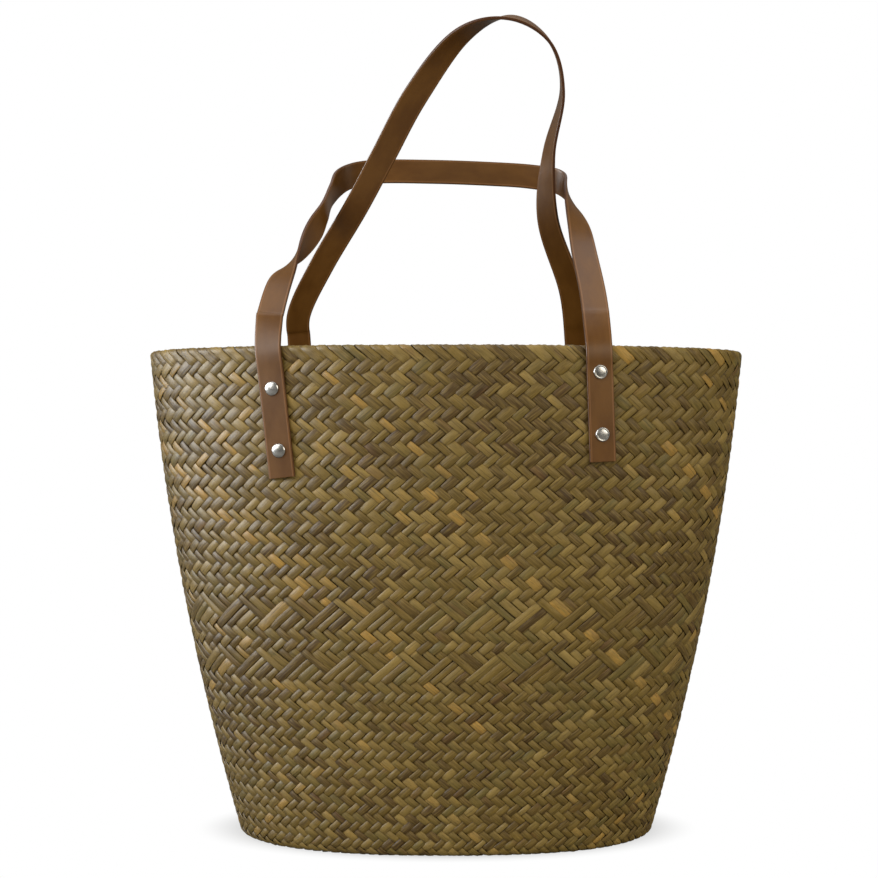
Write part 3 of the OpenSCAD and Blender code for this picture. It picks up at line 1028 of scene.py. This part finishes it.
for side_name, (side_sign, rise_height, lean) in handle_shapes.items():
    joint = next(j for j in frame["joints"] if j["name"] == f"{side_name}_handle_swing")
    hinge = Vector(joint["pos_m"])
    lean = math.radians(lean)
    plane_up = Vector((0, -side_sign * math.sin(lean), math.cos(lean)))
    plane_back = plane_up.cross(Vector((1, 0, 0)))
    reach_up = (rise_height - bend_rise) / math.cos(lean)
    route = [
        (a * half_leg_spacing, u * reach_up, math.radians(t)) for a, u, t in handle_routes[side_name]
    ]
    curve = smooth_route(route, steps=7)
    places, wides = [], []
    for index, point in enumerate(curve):
        ahead, behind = curve[min(index + 1, len(curve) - 1)], curve[max(index - 1, 0)]
        run = (ahead - behind).xy.normalized()
        if index == 0:
            run = Vector((0, 1))
        if index == len(curve) - 1:
            run = Vector((0, -1))
        across_flat = Vector((1, 0, 0)) * run.y - plane_up * run.x
        places.append(hinge + Vector((point.x, 0, 0)) + plane_up * point.y)
        wides.append(across_flat * math.cos(point.z) + plane_back * math.sin(point.z))
    ends = []
    for end_name in ("left", "right"):
        tab = tab_frame(f"{side_name}_{end_name}")
        centre = tab["middle"] + tab["out"] * (tab["back"] + tab["face"]) / 2
        top = (rim_top - tab_top_gap - centre.z) / tab["up"].z
        line = [
            centre + tab["up"] * (tab["end"] + (top - tab["end"]) * i / tab_line_count)
            for i in range(tab_line_count + 1)
        ]
        wide = tab["out"].cross(tab["up"])
        ends.append((line, wide, tab))
    (left_line, left_wide, left_tab), (right_line, right_wide, _) = ends
    clear = [i for i, point in enumerate(curve) if point.y > bend_ease]
    knots = left_line + [places[i] for i in clear] + right_line[::-1]
    wide_knots = [left_wide] * len(left_line) + [wides[i] for i in clear]
    wide_knots += [-right_wide] * len(right_line)
    centres = smooth_route(knots, steps=3)
    wide_curve = smooth_route(wide_knots, steps=3)
    for row in (centres, wide_curve):
        row.insert(1, row[0].lerp(row[1], end_share))
        row.insert(-1, row[-1].lerp(row[-2], end_share))
    half_width = left_tab["half_width"]
    half_thickness = (left_tab["face"] - left_tab["back"]) / 2
    section = strap_section(half_width, half_thickness)
    points, faces, marks = [], [], []
    travelled = 0
    for index, (centre, wide) in enumerate(zip(centres, wide_curve)):
        ahead = centres[min(index + 1, len(centres) - 1)]
        behind = centres[max(index - 1, 0)]
        along_strap = (ahead - behind).normalized()
        wide = (wide - along_strap * wide.dot(along_strap)).normalized()
        outward = along_strap.cross(wide)
        travelled += (centre - centres[index - 1]).length if index else 0
        for x, y in section:
            points.append(centre + wide * x + outward * y)
            on_edge = abs(x) > half_width - strap_edge_round * 0.5 and abs(y) < half_thickness * 0.8
            marks.append((travelled, x / half_width, float(on_edge), side_sign))
    ring = len(section)
    for index in range(len(centres) - 1):
        for corner in range(ring):
            following = (corner + 1) % ring
            a, b = index * ring + corner, index * ring + following
            faces.append((a, b, b + ring, a + ring))
    faces.append(tuple(range(ring))[::-1])
    faces.append(tuple(range((len(centres) - 1) * ring, len(centres) * ring)))
    mesh = bpy.data.meshes.new(f"{side_name}_strap")
    mesh.from_pydata(points, [], faces)
    for column, label in enumerate(("along", "across", "edge", "number")):
        values = mesh.attributes.new(label, "FLOAT", "POINT")
        for mark, value in zip(marks, values.data):
            value.value = mark[column]
    mesh.polygons.foreach_set("use_smooth", [len(face) == 4 for face in faces])
    mesh.materials.append(leather)
    strap = bpy.data.objects.new(f"{side_name}_strap", mesh)
    scene.collection.objects.link(strap)
    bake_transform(strap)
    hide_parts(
        f"{side_name}_left_strap_end", f"{side_name}_right_strap_end", f"{side_name}_handle"
    )


# ---- Rivets ----
# Nickel-plated cap rivets, two through each tab. The left-hand caps are domed, and the
# right-hand ones are flatter with a pressed ring. The shank is peened over the washer.
def object_noise(tree, scale, detail):
    """A smooth noise at the object's own coordinates."""
    spot = place(tree, "ShaderNodeTexCoord").outputs["Object"]
    values = {"Vector": spot, "Scale": scale, "Detail": detail}
    return Field(place(tree, "ShaderNodeTexNoise", values).outputs[0])


dull_nickel, bright_nickel = paint(168, 166, 160), paint(206, 204, 200)
scuff_depth = 0.0002
nickel, tree, shader = principled("polished nickel")
shader.inputs["Metallic"].default_value = 1
scuffs = object_noise(tree, scale=900, detail=4)
clouds = object_noise(tree, scale=210, detail=2)
colour = mix(tree, clouds.ease(0.3, 0.7), dull_nickel, bright_nickel)
finish(shader, colour, scuffs * 0.16 + clouds * 0.08 + 0.12, scuffs, 0.05, scuff_depth)

cap_inputs = (
    ("Rivet", "NodeSocketObject"),
    ("Places", "NodeSocketObject"),
    ("Material", "NodeSocketMaterial"),
)
rivet_tree, given = new_tree("set rivets", cap_inputs)
rivet_info = place(rivet_tree, "GeometryNodeObjectInfo", {"Object": given["Rivet"]})
places_info = place(rivet_tree, "GeometryNodeObjectInfo", {"Object": given["Places"]})
facing = place(
    rivet_tree,
    "FunctionNodeAlignRotationToVector",
    {"Vector": attribute(rivet_tree, "out", "FLOAT_VECTOR")},
    axis="Z",
)
set_rivets = place(
    rivet_tree,
    "GeometryNodeInstanceOnPoints",
    {
        "Points": places_info.outputs["Geometry"],
        "Instance": rivet_info.outputs["Geometry"],
        "Rotation": facing.outputs["Rotation"],
    },
)
close_tree(rivet_tree, set_rivets.outputs["Instances"], given["Material"])


def lathe(name, profile, steps=40):
    """A closed solid turned round Z from points (radius, height), both ends on the axis."""
    points = [(0, 0, profile[0][1])]
    for radius, height in profile[1:-1]:
        for s in range(steps):
            turn = math.tau * s / steps
            points.append((radius * math.cos(turn), radius * math.sin(turn), height))
    points.append((0, 0, profile[-1][1]))
    faces = []
    for s in range(steps):
        after = (s + 1) % steps
        faces.append((0, 1 + after, 1 + s))
        for ring in range(len(profile) - 3):
            a, b = 1 + ring * steps + s, 1 + ring * steps + after
            faces.append((a, b, b + steps, a + steps))
        last = 1 + (len(profile) - 3) * steps
        faces.append((last + s, last + after, len(points) - 1))
    mesh = bpy.data.meshes.new(name)
    mesh.from_pydata(points, [], faces)
    mesh.polygons.foreach_set("use_smooth", [True] * len(faces))
    turned = bpy.data.objects.new(name, mesh)
    scene.collection.objects.link(turned)
    return turned


# Each cap from its rim to its middle, as (radius, height above the strap) in millimetres.
domed_cap = (
    (4.72, 0.05), (4.75, 0.4), (4.5, 0.85), (3.8, 1.27), (2.7, 1.58), (1.4, 1.75), (0, 1.8),
)
ringed_cap = (
    (4.72, 0.05), (4.75, 0.5), (4.6, 0.95), (4.25, 1.22), (3.95, 1.25), (3.7, 1.1),
    (3.5, 1.0), (3.2, 1.08), (2.4, 1.22), (1.2, 1.3), (0, 1.32),
)
shank_radius = 0.0019
peened_radius = 0.0014
peened_height = 0.0004
for end_name, cap in (("left", domed_cap), ("right", ringed_cap)):
    rivet_points, outs, replaced = [], [], []
    for side_name in ("front", "rear"):
        tab = tab_frame(f"{side_name}_{end_name}")
        for which in ("lower", "upper"):
            node_name = f"{side_name}_{end_name}_{which}_rivet"
            middle = washer_middle(f"{side_name}_{end_name}", which)
            vertices = frame["nodes"][node_name].data.vertices
            inner_end = min((v.co - middle).dot(tab["out"]) for v in vertices)
            rivet_points.append(middle + tab["out"] * tab["face"])
            outs.append(tab["out"])
            replaced.append(node_name)
            shank = inner_end - tab["face"]
    profile = [(0, shank), (peened_radius, shank)]
    profile += [(shank_radius, shank + peened_height), (shank_radius, 0)]
    profile += [(radius / 1000, height / 1000) for radius, height in cap]
    rivet = lathe(f"{end_name} rivet", profile)
    mesh = bpy.data.meshes.new("rivet places")
    mesh.from_pydata(rivet_points, [], [])
    values = mesh.attributes.new("out", "FLOAT_VECTOR", "POINT")
    for value, out in zip(values.data, outs):
        value.vector = out
    rivet_places = bpy.data.objects.new("rivet places", mesh)
    scene.collection.objects.link(rivet_places)
    values = {"Rivet": rivet, "Places": rivet_places, "Material": nickel}
    piece = grow(f"{end_name}_rivets", rivet_tree, values)
    for helper in (rivet, rivet_places):
        bpy.data.objects.remove(helper)
    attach(piece, "bag")
    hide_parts(*replaced)


# ---- Washers and patches inside ----
# Inside the wall, each tab is backed by a patch of the same leather, skin side out, and
# each rivet by a plain nickel washer. Their CAD shapes are the real ones.
satin, tree, shader = principled("satin nickel")
shader.inputs["Metallic"].default_value = 1
scuffs = object_noise(tree, scale=700, detail=5)
colour = mix(tree, scuffs.ease(0.3, 0.7), dull_nickel, paint(196, 194, 188))
feed(shader.inputs["Base Color"], colour)
feed(shader.inputs["Roughness"], scuffs * 0.2 + 0.28)

dark_patch, light_patch, nap_brown = paint(96, 60, 34), paint(118, 77, 46), paint(70, 40, 20)
nap_depth = 0.0004
backing, tree, shader = principled("patch leather")
nap = object_noise(tree, scale=1300, detail=4)
clouds = object_noise(tree, scale=60, detail=3)
colour = mix(tree, clouds.ease(0.3, 0.7), dark_patch, light_patch)
colour = mix(tree, nap.ease(0.5, 0.75) * 0.3, colour, nap_brown)
finish(shader, colour, nap * 0.2 + 0.5, nap, 0.25, nap_depth)

for node_name, node in frame["nodes"].items():
    if node_name.endswith(("_washer", "_patch")):
        look = satin if node_name.endswith("_washer") else backing
        if not node.material_slots:
            node.data.materials.append(look)
        for material_slot in node.material_slots:
            material_slot.material = look
